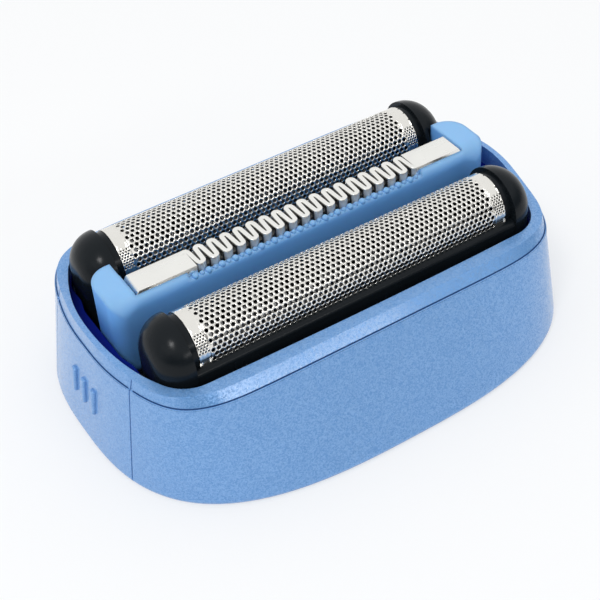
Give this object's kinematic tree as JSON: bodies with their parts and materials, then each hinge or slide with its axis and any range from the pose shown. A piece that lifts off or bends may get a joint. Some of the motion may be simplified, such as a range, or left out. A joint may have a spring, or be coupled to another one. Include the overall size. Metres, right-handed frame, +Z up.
{
  "type": "shaver foil head",
  "caption": "Shaver foil head: rounded blue housing holding sprung perforated foils with oscillating cutters under them and a sprung zigzag trimmer between, open below to clip onto a shaver.",
  "frame": {"origin": "middle of the underside of the housing", "axes": "+X along the foils, -Y the front long side, +Z up towards the foils"},
  "size_m": [0.0586, 0.0432, 0.0188],
  "materials": {
    "housing_blue": "metallic blue lacquer with fine flakes",
    "base_grey": "fine moulded texture",
    "spring_steel": "drawn wire",
    "frame_black": "semi-gloss moulded",
    "foil_nickel": "electroformed nickel, perforated",
    "blade_steel": "ground edges",
    "cutter_grey": "moulded",
    "driver_white": "moulded, self-lubricating",
    "carrier_blue": "satin moulded",
    "comb_steel": "stamped and polished"
  },
  "bodies": {
    "housing": {"housing_shell": "housing_blue", "base_frame": "base_grey", "front_float_springs": "spring_steel", "rear_float_springs": "spring_steel", "trimmer_float_springs": "spring_steel"},
    "front_foil_unit": {"front_foil_frame": "frame_black", "front_foil": "foil_nickel"},
    "rear_foil_unit": {"rear_foil_frame": "frame_black", "rear_foil": "foil_nickel"},
    "trimmer_unit": {"trimmer_carrier": "carrier_blue", "trimmer_comb": "comb_steel"},
    "front_cutter": {"front_cutter_blades": "blade_steel", "front_cutter_carrier": "cutter_grey", "front_cutter_driver": "driver_white", "front_cutter_springs": "spring_steel"},
    "rear_cutter": {"rear_cutter_blades": "blade_steel", "rear_cutter_carrier": "cutter_grey", "rear_cutter_driver": "driver_white", "rear_cutter_springs": "spring_steel"},
    "trimmer_cutter": {"trimmer_blade": "blade_steel", "trimmer_slider": "driver_white"}
  },
  "joints": [
    {"name": "front_foil_float", "type": "slide", "parent": "housing", "child": "front_foil_unit", "axis": [0, 0, 1], "range_m": [-0.0015, 0], "stiffness_N_per_m": 300, "springref_m": 0.0015, "deforming": ["front_float_springs"]},
    {"name": "rear_foil_float", "type": "slide", "parent": "housing", "child": "rear_foil_unit", "axis": [0, 0, 1], "range_m": [-0.0015, 0], "stiffness_N_per_m": 300, "springref_m": 0.0015, "deforming": ["rear_float_springs"]},
    {"name": "trimmer_float", "type": "slide", "parent": "housing", "child": "trimmer_unit", "axis": [0, 0, 1], "range_m": [-0.0015, 0], "stiffness_N_per_m": 300, "springref_m": 0.0015, "deforming": ["trimmer_float_springs"]},
    {"name": "front_cutter_stroke", "type": "slide", "parent": "front_foil_unit", "child": "front_cutter", "axis": [1, 0, 0], "range_m": [-0.001, 0.001]},
    {"name": "rear_cutter_stroke", "type": "slide", "parent": "rear_foil_unit", "child": "rear_cutter", "axis": [1, 0, 0], "range_m": [-0.001, 0.001]},
    {"name": "trimmer_cutter_stroke", "type": "slide", "parent": "trimmer_unit", "child": "trimmer_cutter", "axis": [1, 0, 0], "range_m": [-0.001, 0.001]}
  ]
}
